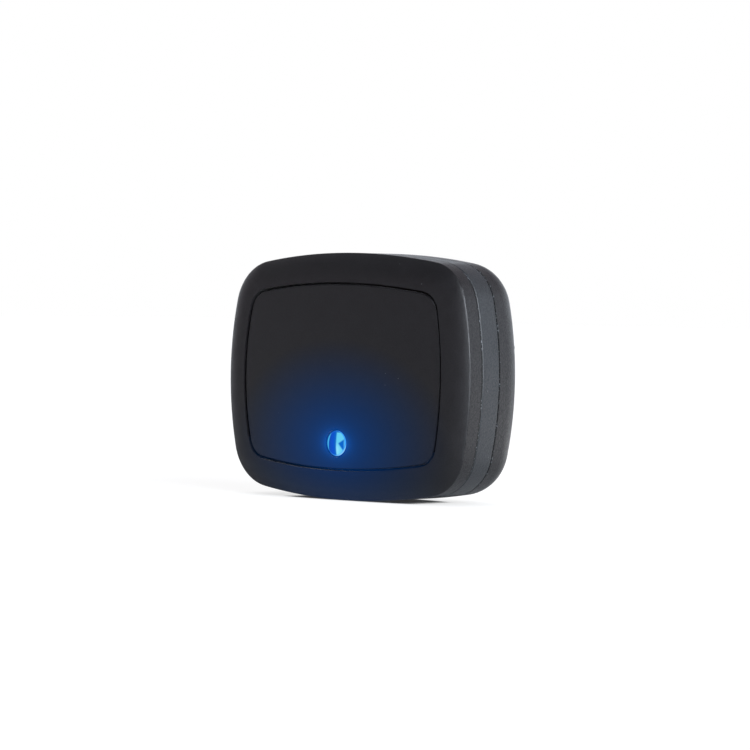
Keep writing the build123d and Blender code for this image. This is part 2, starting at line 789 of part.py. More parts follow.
# Collar clip: flat arm hinged by its barrel, with a tongue that drops into the keeper
with BuildPart() as collar_clip:
    neck_x = hinge_x + barrel_radius + neck_clearance
    arm_length = tab_end_x - neck_x
    block(arm_length, clip_width, neck_x + arm_length / 2, 0, clip_inner, overall_depth)
    fillet(collar_clip.edges().filter_by(Axis.Y), 2 * clip_edge_radius)
    block(neck_x - hinge_x + 2 * clip_edge_radius, barrel_length,
          (neck_x + hinge_x) / 2 + clip_edge_radius, 0, clip_inner, overall_depth)
    fillet(edges_at(collar_clip, overall_depth).filter_by(
        lambda edge: (edge @ 0.5).X > hinge_x + clip_edge_radius), clip_edge_radius)
    with BuildSketch(Plane.XY.offset(middle_z - barrel_length / 2)) as barrel:
        with Locations((hinge_x, front_y + hinge_depth)):
            Circle(barrel_radius)
    extrude(barrel.sketch, amount=barrel_length)
    with BuildSketch(Plane.XY.offset(middle_z - barrel_length / 2)) as pin_bore:
        with Locations((hinge_x, front_y + hinge_depth)):
            Circle(clip_pin_radius + clip_pin_clearance)
    extrude(pin_bore.sketch, amount=barrel_length, mode=Mode.SUBTRACT)
    tongue_end = body_depth + tongue_floor_gap
    block(tongue_thickness, tongue_width, keeper_x, 0, tongue_end, clip_inner)
    fillet(edges_at(collar_clip, tongue_end), tongue_thickness / 5)
    for side in (-1, 1):
        with Locations((keeper_x, front_y + detent_depth, middle_z + side * detent_z)):
            Sphere(detent_radius + detent_clearance, mode=Mode.SUBTRACT)
    for number in range(tab_rib_count):
        rib_z = (number - (tab_rib_count - 1) / 2) * tab_rib_pitch
        block(tab_rib_length, tab_rib_groove, tab_end_x - tab_rib_length / 2, rib_z,
              overall_depth - tab_rib_depth, overall_depth, Mode.SUBTRACT)
        block(tab_rib_depth, tab_rib_groove, tab_end_x - tab_rib_depth / 2, rib_z,
              clip_inner, overall_depth, Mode.SUBTRACT)
    pad_start_x = -strap_width / 2 + pad_margin_x
    pad_length = strap_width - 2 * pad_margin_x
    block(pad_length, clip_width - 2 * pad_margin_z, pad_start_x + pad_length / 2, 0,
          clip_inner, clip_inner + pad_sink, Mode.SUBTRACT)
save(collar_clip, "collar_clip")

# Grip pad: rubber strip let into the arm, ribbed across the strap
with BuildPart() as grip_pad:
    pad_back = clip_inner + pad_sink
    pad_front = pad_back - pad_thickness
    block(pad_length, clip_width - 2 * pad_margin_z, pad_start_x + pad_length / 2, 0,
          pad_front, pad_back)
    for number in range(pad_rib_count):
        rib_x = pad_start_x + pad_length / 2 + (number - (pad_rib_count - 1) / 2) * pad_rib_pitch
        block(pad_rib_width, clip_width - 2 * pad_margin_z, rib_x, 0, pad_front - pad_rib_rise,
              pad_front)
save(grip_pad, "grip_pad")

# Clip pin: pressed into both ears, free in the barrel
with BuildPart() as clip_pin:
    pin_length = barrel_length + 2 * (barrel_side_gap + ear_thickness)
    with BuildSketch(Plane.XY.offset(middle_z - pin_length / 2)) as pin_section:
        with Locations((hinge_x, front_y + hinge_depth)):
            Circle(clip_pin_radius)
    extrude(pin_section.sketch, amount=pin_length)
save(clip_pin, "clip_pin")
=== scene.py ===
"""Animal tracker on a white floor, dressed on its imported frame. Blender units are metres."""

import math

import bmesh
import bpy
from mathutils import Matrix, Vector


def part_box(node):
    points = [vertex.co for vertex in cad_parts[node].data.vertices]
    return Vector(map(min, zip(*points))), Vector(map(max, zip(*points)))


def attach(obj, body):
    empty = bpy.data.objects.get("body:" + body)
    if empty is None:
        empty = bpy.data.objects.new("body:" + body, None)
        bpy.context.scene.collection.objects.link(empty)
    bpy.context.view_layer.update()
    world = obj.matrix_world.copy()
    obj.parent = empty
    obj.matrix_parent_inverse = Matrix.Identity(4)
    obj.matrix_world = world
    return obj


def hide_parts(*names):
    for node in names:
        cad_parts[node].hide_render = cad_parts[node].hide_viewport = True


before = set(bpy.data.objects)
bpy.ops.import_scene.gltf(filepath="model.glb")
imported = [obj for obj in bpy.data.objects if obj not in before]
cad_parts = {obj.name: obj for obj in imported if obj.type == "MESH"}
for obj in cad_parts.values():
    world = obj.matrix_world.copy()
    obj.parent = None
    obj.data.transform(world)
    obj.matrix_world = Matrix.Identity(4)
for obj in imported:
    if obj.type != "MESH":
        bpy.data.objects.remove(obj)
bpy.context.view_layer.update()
scene = bpy.context.scene
scene.view_settings.view_transform = "Standard"

# Camera: a long lens a little over half a metre away, turned to the tracker's front right
# and almost level. It looks past the tracker's crown, so the tracker sits left of the middle.
crown = Vector((0, -0.01205, 0.020))
distance, aim_right, aim_up = 0.5827, 0.00630, 0.00035
yaw, pitch, roll = math.radians(42.0), math.radians(1.29), math.radians(0.85)
back = Vector((
    math.sin(yaw) * math.cos(pitch),
    -math.cos(yaw) * math.cos(pitch),
    math.sin(pitch),
))
right = Vector((math.cos(yaw), math.sin(yaw), 0))
up = back.cross(right)
eye = crown + back * distance
aim = crown + right * aim_right + up * aim_up
axis = (aim - eye).normalized()
side = axis.cross(up).normalized()
lift = side.cross(axis)
turned_side = side * math.cos(roll) + lift * math.sin(roll)
turned_lift = lift * math.cos(roll) - side * math.sin(roll)
camera_data = bpy.data.cameras.new("camera")
camera_data.lens = 173.7
camera_data.sensor_width = 36.0
camera_data.clip_start, camera_data.clip_end = 0.05, 20.0
camera = bpy.data.objects.new("camera", camera_data)
camera.matrix_world = Matrix((
    (turned_side.x, turned_lift.x, -axis.x, eye.x),
    (turned_side.y, turned_lift.y, -axis.y, eye.y),
    (turned_side.z, turned_lift.z, -axis.z, eye.z),
    (0, 0, 0, 1),
))
scene.collection.objects.link(camera)
scene.camera = camera

# Studio: a white room with a tall bright window to the right, a bright wall behind and a dark
# ceiling. The window and the wall light the tracker's right side, so its front stays dim.


def add_node(tree, kind, inputs=None, **settings):
    """Adds a node, applies its settings, and sets or links its inputs."""
    made = tree.nodes.new(kind)
    for name, value in settings.items():
        setattr(made, name, value)
    for name, value in (inputs or {}).items():
        if isinstance(value, bpy.types.NodeSocket):
            tree.links.new(value, made.inputs[name])
        else:
            made.inputs[name].default_value = value
    return made


def linear(hex_colour):
    """An sRGB hex colour as the linear values that shaders take."""
    parts = [int(hex_colour[i:i + 2], 16) / 255 for i in (1, 3, 5)]
    return tuple(
        c / 12.92 if c <= 0.04045 else ((c + 0.055) / 1.055) ** 2.4 for c in parts
    ) + (1.0,)


front_level, ceiling_height, ceiling_level = 0.33, 0.65, 0.1
world = bpy.data.worlds.new("white_room")
world.use_nodes = True
scene.world = world
tree = world.node_tree
tree.nodes.clear()
direction = add_node(tree, "ShaderNodeTexCoord").outputs["Generated"]
height = add_node(tree, "ShaderNodeSeparateXYZ", {"Vector": direction}).outputs["Z"]
# The wall and the window: the direction of each, the cosines at which its light starts and is
# full, and its brightness
lights = []
for towards, start, full, brightness in (
    ((0.0, 1.0, 0.0), -0.2, 0.65, 1.33),
    ((0.885, -0.32, 0.28), 0.88, 0.99, 16.8),
):
    facing = add_node(tree, "ShaderNodeVectorMath", {
        0: direction, 1: Vector(towards).normalized(),
    }, operation="DOT_PRODUCT")
    lights.append(add_node(tree, "ShaderNodeMapRange", {
        "Value": facing.outputs["Value"], "From Min": start, "From Max": full,
        "To Min": 0.0, "To Max": brightness,
    }, interpolation_type="SMOOTHSTEP").outputs["Result"])
wall, window = lights
walls = add_node(tree, "ShaderNodeMath", {0: wall, 1: front_level}, operation="ADD")
dimming = add_node(tree, "ShaderNodeMapRange", {
    "Value": height, "From Min": 0.0, "From Max": ceiling_height,
    "To Min": 1.0, "To Max": ceiling_level,
}, interpolation_type="SMOOTHSTEP")
room = add_node(tree, "ShaderNodeMath", {
    0: walls.outputs[0], 1: dimming.outputs["Result"], 2: window,
}, operation="MULTIPLY_ADD").outputs[0]
rays = add_node(tree, "ShaderNodeLightPath")
strength = add_node(tree, "ShaderNodeMix", {
    0: rays.outputs["Is Camera Ray"], 2: room, 3: 1.0,
}, data_type="FLOAT")
day_tint = add_node(tree, "ShaderNodeMix", {
    0: room, 6: linear("#ffe3ee"), 7: linear("#eef6ff"),
}, data_type="RGBA")
room_tint = add_node(tree, "ShaderNodeMix", {
    0: rays.outputs["Is Camera Ray"], 6: day_tint.outputs[2], 7: (1, 1, 1, 1),
}, data_type="RGBA")
sky = add_node(tree, "ShaderNodeBackground", {
    "Color": room_tint.outputs[2], "Strength": strength.outputs[0],
})
add_node(tree, "ShaderNodeOutputWorld", {"Surface": sky.outputs[0]})

# Floor: a wide sheet of white paper. Its white is for the camera alone, with a painted contact
# shadow from ambient occlusion, over the real soft shadow, close under the tracker. Other rays see
# plain paper with a painted patch of light on it where the window's light would fall.
floor_size = 6.0
contact_reach, contact_dark, contact_light = 0.0011, 0.03, 0.92
shade_reach, shade_dark = 0.006, 0.8
patch_middle, patch_reach, patch_level = (0.06, 0.085, 0.0), 0.1, 2.1
bm = bmesh.new()
bmesh.ops.create_grid(bm, x_segments=1, y_segments=1, size=floor_size / 2)
floor_mesh = bpy.data.meshes.new("floor")
bm.to_mesh(floor_mesh)
bm.free()
floor = bpy.data.objects.new("floor", floor_mesh)
scene.collection.objects.link(floor)
floor_material = bpy.data.materials.new("white_paper")
floor_material.use_nodes = True
tree = floor_material.node_tree
tree.nodes.clear()
# Painted contact shadow: ambient occlusion dims the camera's white close under the tracker
closeness = add_node(tree, "ShaderNodeAmbientOcclusion", {"Distance": contact_reach}, samples=16)
contact = add_node(tree, "ShaderNodeMapRange", {
    "Value": closeness.outputs["AO"], "From Min": 0.25, "From Max": 0.8,
    "To Min": contact_dark, "To Max": contact_light,
}, interpolation_type="SMOOTHSTEP")
nearness = add_node(tree, "ShaderNodeAmbientOcclusion", {"Distance": shade_reach}, samples=16)
soft_edge = add_node(tree, "ShaderNodeMapRange", {
    "Value": nearness.outputs["AO"], "From Min": 0.2, "From Max": 0.9,
    "To Min": shade_dark, "To Max": 1.0,
})
glowing = add_node(tree, "ShaderNodeMath", {
    0: contact.outputs["Result"], 1: soft_edge.outputs["Result"],
}, operation="MULTIPLY")
shown_white = add_node(tree, "ShaderNodeEmission", {
    "Color": (1, 1, 1, 1), "Strength": glowing.outputs[0],
})
soft_shadow = add_node(tree, "ShaderNodeBsdfDiffuse", {"Color": linear("#808080")})
seen_paper = add_node(tree, "ShaderNodeAddShader", {
    0: shown_white.outputs[0], 1: soft_shadow.outputs[0],
})
place = add_node(tree, "ShaderNodeTexCoord").outputs["Object"]
# Painted light: an emission patch on the paper round patch_middle stands for the window's light
# falling there
far_side = add_node(tree, "ShaderNodeVectorMath", {0: place, 1: patch_middle}, operation="DISTANCE")
painted_window_patch = add_node(tree, "ShaderNodeMapRange", {
    "Value": far_side.outputs["Value"], "From Min": 0.0, "From Max": patch_reach,
    "To Min": patch_level, "To Max": 0.0,
}, interpolation_type="SMOOTHSTEP")
lit_patch = add_node(tree, "ShaderNodeEmission", {
    "Color": (1, 1, 1, 1), "Strength": painted_window_patch.outputs["Result"],
})
paper = add_node(tree, "ShaderNodeBsdfDiffuse", {"Color": linear("#b8b8b8")})
lit_paper = add_node(tree, "ShaderNodeAddShader", {0: lit_patch.outputs[0], 1: paper.outputs[0]})
rays = add_node(tree, "ShaderNodeLightPath")
surface = add_node(tree, "ShaderNodeMixShader", {
    0: rays.outputs["Is Camera Ray"], 1: lit_paper.outputs[0], 2: seen_paper.outputs[0],
})
add_node(tree, "ShaderNodeOutputMaterial", {"Surface": surface.outputs[0]})
floor_mesh.materials.append(floor_material)

# Soft-touch shells: front and rear are moulded polycarbonate under a rubbery matt lacquer, near
# black. The lacquer's fine pebble mottles the light, most of all on the sides, and holds a few
# specks of dust. Round the lens a painted blue glow in its emission stands for the lamp's light,
# and painted shade dims its colour and gloss there.
lens_low, lens_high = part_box("light_pipe")
lens_x = (lens_low[0] + lens_high[0]) / 2
lens_z = (lens_low[2] + lens_high[2]) / 2
panel_low, panel_high = (Vector(corner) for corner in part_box("front_panel"))
# A noise texture's values lie mostly between these two
noise_low, noise_high = 0.3, 0.7


def empty_material(name):
    """A new material and its empty node tree."""
    material = bpy.data.materials.new(name)
    material.use_nodes = True
    material.node_tree.nodes.clear()
    return material, material.node_tree


def painted_lamp_glow(tree, place, shade, level):
    """The painted lamp glow: the colour under painted shade, the painted blue light and the gloss
    left round the lens, and how unlit it is.
    """
    halo_width, halo_reach, halo_core = 0.72, 0.017, 1.2e-9 * level
    wash_level, wash_fall, gloss_fall = 0.15 * level, 1.3, 1.6
    from_lens = add_node(tree, "ShaderNodeVectorMath", {
        0: place, 1: (lens_x, 0, lens_z),
    }, operation="SUBTRACT")
    spread = add_node(tree, "ShaderNodeVectorMath", {
        0: from_lens.outputs[0], 1: (halo_width, 0, 1),
    }, operation="MULTIPLY")
    distance = add_node(tree, "ShaderNodeVectorMath", {
        0: spread.outputs[0],
    }, operation="LENGTH").outputs["Value"]
    unlit = add_node(tree, "ShaderNodeMapRange", {
        "Value": distance, "From Min": 0.0, "From Max": halo_reach, "To Min": 0.0, "To Max": 1.0,
    }).outputs["Result"]
    lit = add_node(tree, "ShaderNodeMath", {0: 1.0, 1: unlit}, operation="SUBTRACT")
    wash = add_node(tree, "ShaderNodeMath", {0: lit.outputs[0], 1: wash_fall}, operation="POWER")
    cubed = add_node(tree, "ShaderNodeMath", {0: distance, 1: 3.0}, operation="POWER")
    core = add_node(tree, "ShaderNodeMath", {
        0: halo_core, 1: cubed.outputs[0],
    }, operation="DIVIDE")
    glow = add_node(tree, "ShaderNodeMath", {
        0: wash.outputs[0], 1: wash_level, 2: core.outputs[0],
    }, operation="MULTIPLY_ADD")
    hue = add_node(tree, "ShaderNodeMix", {
        0: unlit, 6: linear("#0079ff"), 7: linear("#0092ff"),
    }, data_type="RGBA")
    light = add_node(tree, "ShaderNodeMix", {
        0: 1.0, 6: hue.outputs[2], 7: glow.outputs[0],
    }, data_type="RGBA", blend_type="MULTIPLY")
    # Painted shade: near the lens the gloss and the base colour fall away, so the painted glow
    # shows deep blue
    gloss_left = add_node(tree, "ShaderNodeMath", {0: unlit, 1: gloss_fall}, operation="POWER")
    shaded = add_node(tree, "ShaderNodeMix", {
        0: 1.0, 6: shade, 7: gloss_left.outputs[0],
    }, data_type="RGBA", blend_type="MULTIPLY")
    return shaded.outputs[2], light.outputs[2], gloss_left.outputs[0], unlit


def opening_mask(tree, place):
    """1 within the panel's opening, taken as a box with rounded corners, and 0 outside it."""
    margin, corner = 0.0008, 0.0105
    core = (panel_high - panel_low) / 2 + Vector((1, 0, 1)) * (margin - corner)
    from_middle = add_node(tree, "ShaderNodeVectorMath", {
        0: place, 1: (panel_low + panel_high) / 2,
    }, operation="SUBTRACT")
    outward = add_node(tree, "ShaderNodeVectorMath", {
        0: from_middle.outputs[0],
    }, operation="ABSOLUTE")
    past_core = add_node(tree, "ShaderNodeVectorMath", {
        0: outward.outputs[0], 1: core,
    }, operation="SUBTRACT")
    beyond = add_node(tree, "ShaderNodeVectorMath", {
        0: past_core.outputs[0], 1: (0, 0, 0),
    }, operation="MAXIMUM")
    across = add_node(tree, "ShaderNodeVectorMath", {
        0: beyond.outputs[0], 1: (1, 0, 1),
    }, operation="MULTIPLY")
    reach = add_node(tree, "ShaderNodeVectorMath", {0: across.outputs[0]}, operation="LENGTH")
    return add_node(tree, "ShaderNodeMath", {
        0: reach.outputs["Value"], 1: corner,
    }, operation="LESS_THAN").outputs[0]


def soft_touch(name, colour, roughness, lit=0.0, seam_at=None, seam_shade_reach=0.0004):
    """Matt lacquer over black plastic. lit is the strength of the painted lamp glow on a piece
    beside the panel's gap, and seam_at is the depth of a seam with moulding flash and a ragged line
    of painted shade."""
    pebble, pebble_height, front_relief = 0.00018, 0.00008, 0.1
    grit, cloud, cloud_tone = 0.00035, 0.0016, 0.18
    dust_cell, fleck_size, fleck_share = 0.0013, 0.045, 0.1
    front_gloss, side_gloss = 0.86, 0.5
    material, tree = empty_material(name)
    where = add_node(tree, "ShaderNodeTexCoord")
    place = where.outputs["Object"]
    facing = add_node(tree, "ShaderNodeSeparateXYZ", {"Vector": where.outputs["Normal"]})
    frontal = add_node(tree, "ShaderNodeMath", {
        0: facing.outputs["Y"],
    }, operation="ABSOLUTE").outputs[0]
    sideways = add_node(tree, "ShaderNodeMapRange", {
        "Value": frontal, "From Min": 0.3, "From Max": 0.9, "To Min": 1.0, "To Max": 0.0,
    }).outputs["Result"]
    fine = add_node(tree, "ShaderNodeTexNoise", {
        "Vector": place, "Scale": 1 / pebble, "Detail": 3.0, "Roughness": 0.6,
    })
    gritty = add_node(tree, "ShaderNodeTexNoise", {
        "Vector": place, "Scale": 1 / grit, "Detail": 3.0, "Roughness": 0.7,
    })
    grain = add_node(tree, "ShaderNodeMix", {
        0: sideways, 2: fine.outputs["Fac"], 3: gritty.outputs["Fac"],
    }, data_type="FLOAT").outputs[0]
    relief = add_node(tree, "ShaderNodeMapRange", {
        "Value": sideways, "To Min": front_relief, "To Max": 1.0,
    })
    pebbled = add_node(tree, "ShaderNodeBump", {
        "Height": grain, "Strength": relief.outputs["Result"], "Distance": pebble_height,
    })
    mottle = add_node(tree, "ShaderNodeTexNoise", {
        "Vector": place, "Scale": 1 / cloud, "Detail": 5.0, "Roughness": 0.7,
    }).outputs["Fac"]
    worn = add_node(tree, "ShaderNodeMapRange", {
        "Value": mottle, "From Min": noise_low, "From Max": noise_high,
        "To Min": roughness - 0.05, "To Max": roughness + 0.05,
    })
    tone = add_node(tree, "ShaderNodeMapRange", {
        "Value": mottle, "From Min": noise_low, "From Max": noise_high,
        "To Min": 1 - cloud_tone, "To Max": 1 + cloud_tone,
    })
    shade = add_node(tree, "ShaderNodeMix", {
        0: 1.0, 6: linear(colour), 7: tone.outputs["Result"],
    }, data_type="RGBA", blend_type="MULTIPLY").outputs[2]
    dullest = add_node(tree, "ShaderNodeMapRange", {
        "Value": sideways, "To Min": front_gloss, "To Max": side_gloss,
    })
    gloss = add_node(tree, "ShaderNodeMapRange", {
        "Value": grain, "From Min": 0.38, "From Max": 0.62,
        "To Min": dullest.outputs["Result"], "To Max": 1.0,
    }).outputs["Result"]
    # Dust: a fleck at the middle of one Voronoi cell in ten
    dust = add_node(tree, "ShaderNodeTexVoronoi", {"Vector": place, "Scale": 1 / dust_cell})
    chance = add_node(tree, "ShaderNodeSeparateColor", {"Color": dust.outputs["Color"]})
    small = add_node(tree, "ShaderNodeMath", {
        0: dust.outputs["Distance"], 1: fleck_size,
    }, operation="LESS_THAN")
    rare = add_node(tree, "ShaderNodeMath", {
        0: chance.outputs[0], 1: 1 - fleck_share,
    }, operation="GREATER_THAN")
    fleck = add_node(tree, "ShaderNodeMath", {
        0: small.outputs[0], 1: rare.outputs[0],
    }, operation="MULTIPLY")
    shade = add_node(tree, "ShaderNodeMix", {
        0: fleck.outputs[0], 6: shade, 7: linear("#77777a"),
    }, data_type="RGBA").outputs[2]
    # Seam: a ragged dark line of painted shade, as wide as the ragged noise says, under pale dots
    # of flash
    if seam_at is not None:
        flash_reach, flash_dot, seam_shade_gloss = 0.0002, 0.00035, 0.2
        depth = add_node(tree, "ShaderNodeSeparateXYZ", {"Vector": place}).outputs["Y"]
        ragged = add_node(tree, "ShaderNodeTexNoise", {
            "Vector": place, "Scale": 1 / flash_dot, "Detail": 2.0,
        }).outputs["Fac"]
        seam_shade_width = add_node(tree, "ShaderNodeMath", {
            0: ragged, 1: seam_shade_reach,
        }, operation="MULTIPLY")
        in_seam_shade = add_node(tree, "ShaderNodeMath", {
            0: depth, 1: seam_at, 2: seam_shade_width.outputs[0],
        }, operation="COMPARE").outputs[0]
        shade = add_node(tree, "ShaderNodeMix", {
            0: in_seam_shade, 6: shade, 7: linear("#060607"),
        }, data_type="RGBA").outputs[2]
        gloss = add_node(tree, "ShaderNodeMix", {
            0: in_seam_shade, 2: gloss, 3: seam_shade_gloss,
        }, data_type="FLOAT").outputs[0]
        burr = add_node(tree, "ShaderNodeMapRange", {
            "Value": ragged, "From Min": 0.57, "From Max": 0.66, "To Min": 0.0, "To Max": 1.0,
        })
        at_edge = add_node(tree, "ShaderNodeMath", {
            0: depth, 1: seam_at, 2: flash_reach,
        }, operation="COMPARE")
        flash = add_node(tree, "ShaderNodeMath", {
            0: burr.outputs["Result"], 1: at_edge.outputs[0],
        }, operation="MULTIPLY")
        shade = add_node(tree, "ShaderNodeMix", {
            0: flash.outputs[0], 6: shade, 7: linear("#6c7074"),
        }, data_type="RGBA").outputs[2]
    finish = {
        "Roughness": worn.outputs["Result"], "IOR": 1.5, "Sheen Weight": 0.06,
        "Sheen Roughness": 0.5, "Normal": pebbled.outputs["Normal"],
    }
    # Lamp: its painted glow and the gap's painted shade. Edges in the gap keep little gloss and
    # painted glow, but the lens's bore, where the light comes out, keeps most of it
    if lit:
        edge_shade, bore_light = 0.2, 0.75
        in_opening = opening_mask(tree, place)
        edge_gloss = add_node(tree, "ShaderNodeMapRange", {
            "Value": frontal, "From Min": 0.8, "From Max": 0.97,
            "To Min": edge_shade, "To Max": gloss,
        })
        gloss = add_node(tree, "ShaderNodeMix", {
            0: in_opening, 2: gloss, 3: edge_gloss.outputs["Result"],
        }, data_type="FLOAT").outputs[0]
        shade, light, gloss_left, unlit = painted_lamp_glow(tree, place, shade, lit)
        gloss = add_node(tree, "ShaderNodeMath", {
            0: gloss, 1: gloss_left,
        }, operation="MULTIPLY").outputs[0]
        bore_glow = add_node(tree, "ShaderNodeMapRange", {
            "Value": unlit, "From Min": 0.18, "From Max": 0.25,
            "To Min": bore_light, "To Max": edge_shade,
        })
        edge_glow = add_node(tree, "ShaderNodeMapRange", {
            "Value": frontal, "From Min": 0.5, "From Max": 0.97,
            "To Min": bore_glow.outputs["Result"], "To Max": 1.0,
        })
        light = add_node(tree, "ShaderNodeMix", {
            0: in_opening, 6: light, 7: edge_glow.outputs["Result"],
        }, data_type="RGBA", blend_type="MULTIPLY").outputs[2]
        finish.update({"Emission Color": light, "Emission Strength": 1.0})
    finish["Specular Tint"] = gloss
    surface = add_node(tree, "ShaderNodeBsdfPrincipled", {"Base Color": shade, **finish})
    add_node(tree, "ShaderNodeOutputMaterial", {"Surface": surface.outputs[0]})
    return material


def smooth_copy(node_name, body, material, seams=(), ease=None):
    """Replaces a CAD node by a merged copy that is smooth except at creases. Seams are pairs of
    a depth and the width of its rounded edge, and ease rounds every sharp edge instead."""
    touching, crease, sharp = 2e-6, math.radians(28), math.radians(60)
    bm = bmesh.new()
    bm.from_mesh(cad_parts[node_name].data)
    bmesh.ops.remove_doubles(bm, verts=bm.verts, dist=touching)
    bmesh.ops.dissolve_degenerate(bm, edges=bm.edges, dist=touching / 2)
    if ease:
        bmesh.ops.dissolve_limit(
            bm, angle_limit=math.radians(1), verts=bm.verts, edges=bm.edges,
        )
        seams = ((None, ease), )
    for depth, width in seams:
        bmesh.ops.bevel(
            bm, geom=[
                edge for edge in bm.edges
                if len(edge.link_faces) == 2 and edge.is_convex
                and edge.calc_face_angle(0) > sharp
                and (depth is None or all(abs(end.co.y - depth) < touching for end in edge.verts))
            ],
            offset=width, segments=4, profile=0.5, affect="EDGES", material=-1, clamp_overlap=True,
        )
    for face in bm.faces:
        face.smooth = True
        face.material_index = 0
    for edge in bm.edges:
        if len(edge.link_faces) == 2:
            edge.smooth = edge.calc_face_angle(0) < crease
    mesh = bpy.data.meshes.new(node_name + "_skin")
    bm.to_mesh(mesh)
    bm.free()
    mesh.materials.append(material)
    piece = bpy.data.objects.new(node_name + "_skin", mesh)
    scene.collection.objects.link(piece)
    weight = piece.modifiers.new("weighted", "WEIGHTED_NORMAL")
    weight.keep_sharp = True
    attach(piece, body)
    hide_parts(node_name)


# Both shells and the mid frame carry a ragged line of painted shade along their seams
front_seam, rear_seam = (corner[1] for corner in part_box("mid_frame"))
# The front shell also carries the painted lamp glow round the lens
lit_lacquer = soft_touch(
    "lit_soft_touch_polycarbonate", "#171618", 0.42, lit=0.75, seam_at=front_seam, seam_shade_reach=0.0006,
)
shell_lacquer = soft_touch("soft_touch_polycarbonate", "#171618", 0.42, seam_at=rear_seam)
smooth_copy("front_shell", "housing", lit_lacquer)
smooth_copy("rear_shell", "housing", shell_lacquer)

# Mid frame: the ring between the shells, moulded in a slightly greyer satin polycarbonate. Its
# edges are eased beside both seams, so the front seam catches the window and the rear one is dark.
# Its rear seam's dark line is partly painted shade from the lacquer's seam line
frame_grey = soft_touch("satin_polycarbonate", "#25272a", 0.42, seam_at=rear_seam)
seam_gap, front_ease, rear_ease = 0.00008, 0.00025, 0.00014
smooth_copy("mid_frame", "housing", frame_grey, seams=(
    (front_seam + seam_gap, front_ease), (rear_seam - seam_gap, rear_ease),
))

# Front panel: the push button's crowned cap, moulded and lacquered like the shells. It slides
# in on its guide pins, and its fine gap shows as a dark line round it, deepened by painted shade
# on the gap's edges. Round the lens it carries the painted lamp glow.
cap_lacquer = soft_touch("lit_soft_touch_cap", "#171618", 0.42, lit=1.0)
smooth_copy("front_panel", "button", cap_lacquer)

# Light pipe: turned and polished clear acrylic, bonded in the front shell. The lamp behind it
# lights it blue, and its domed end's glow is painted with the bore's dark left wall as painted
# shade and a bright bent painted reflection.
lens_radius, flange_radius, pipe_radius, clear_radius = 0.0021, 0.0029, 0.0017, 0.00203
lens_crown, flange_front, flange_back = 0.00025, -0.00915, -0.00855
lens_front, pipe_end = lens_low[1], lens_high[1]
dome_steps, turn_steps, crease = 10, 96, math.radians(30)
lens_acrylic, tree = empty_material("lit_clear_acrylic")
place = add_node(tree, "ShaderNodeTexCoord").outputs["Object"]
centred = add_node(tree, "ShaderNodeMapping", {
    "Vector": place, "Location": (-lens_x / clear_radius, 0, -lens_z / clear_radius),
    "Scale": (1 / clear_radius, 0, 1 / clear_radius),
}).outputs[0]
across = add_node(tree, "ShaderNodeSeparateXYZ", {"Vector": centred}).outputs["X"]
# Painted fields of shade and light from the left wall to the bright side: where each starts and
# ends across, and its colour. Lengths here are in clear radii from the lens's middle
lens_colour = linear("#0a4db4")
for starts, ends, field_colour in (
    (-0.75, -0.35, "#0a50c8"), (-0.30, -0.05, "#0664c4"), (-0.06, 0.12, "#64cdf2"),
):
    inside = add_node(tree, "ShaderNodeMapRange", {
        "Value": across, "From Min": starts, "From Max": ends, "To Min": 0.0, "To Max": 1.0,
    }, interpolation_type="SMOOTHSTEP").outputs["Result"]
    lens_colour = add_node(tree, "ShaderNodeMix", {
        0: inside, 6: lens_colour, 7: linear(field_colour),
    }, data_type="RGBA").outputs[2]
bright_side = inside
# The bright side's painted lower glare, its painted upper shade and the dark notch at its right:
# each is bounded by slopes, given as a direction across and up and the limit that the facet keeps
# below
lens_facets = (
    (((0.45, 0.89, -0.12), (0.9, -0.43, 0.50)), 0.35, "#96e6ff"),
    (((0.0, -1.0, -0.86), ), 0.06, "#0a4ab0"),
    (((-0.527, 0.85, -0.13), (-0.768, -0.64, -0.19), (1.0, 0.0, 0.80)), 0.08, "#0864c8"),
)
for slopes, blur, facet_colour in lens_facets:
    facet = bright_side
    for slope_x, slope_z, limit in slopes:
        along = add_node(tree, "ShaderNodeVectorMath", {
            0: centred, 1: (slope_x, 0, slope_z),
        }, operation="DOT_PRODUCT").outputs["Value"]
        inside = add_node(tree, "ShaderNodeMapRange", {
            "Value": along, "From Min": limit - blur, "From Max": limit + blur,
            "To Min": 1.0, "To Max": 0.0,
        }, interpolation_type="SMOOTHSTEP").outputs["Result"]
        facet = add_node(tree, "ShaderNodeMath", {
            0: facet, 1: inside,
        }, operation="MULTIPLY").outputs[0]
    lens_colour = add_node(tree, "ShaderNodeMix", {
        0: facet, 6: lens_colour, 7: linear(facet_colour),
    }, data_type="RGBA").outputs[2]
# Painted glints round the rim: the middle of each arc, the radii at which it starts and is full,
# and its colour. The last one is the dark ring at the bore, a painted shade
rim_arcs = (
    ((0.0, 0.0), (0.89, 0.97), "#1c62c8"),
    ((-0.10, 0.03), (0.93, 0.99), "#3ca0fa"),
    ((-0.25, 0.30), (1.26, 1.33), "#82ccff"),
    ((1.59, -0.24), (2.38, 2.46), "#46b2e8"),
    ((0.0, 0.0), (0.98, 1.02), "#00348c"),
)
for (centre_x, centre_z), (inner, outer), arc_colour in rim_arcs:
    reach = add_node(tree, "ShaderNodeVectorMath", {
        0: centred, 1: (centre_x, 0, centre_z),
    }, operation="DISTANCE").outputs["Value"]
    arc = add_node(tree, "ShaderNodeMapRange", {
        "Value": reach, "From Min": inner, "From Max": outer, "To Min": 0.0, "To Max": 1.0,
    }, interpolation_type="SMOOTHSTEP").outputs["Result"]
    lens_colour = add_node(tree, "ShaderNodeMix", {
        0: arc, 6: lens_colour, 7: linear(arc_colour),
    }, data_type="RGBA").outputs[2]
surface = add_node(tree, "ShaderNodeBsdfPrincipled", {
    "Base Color": linear("#02122b"), "Roughness": 0.2, "IOR": 1.49,
    "Specular IOR Level": 0.06, "Emission Color": lens_colour, "Emission Strength": 1.0,
})
add_node(tree, "ShaderNodeOutputMaterial", {"Surface": surface.outputs[0]})

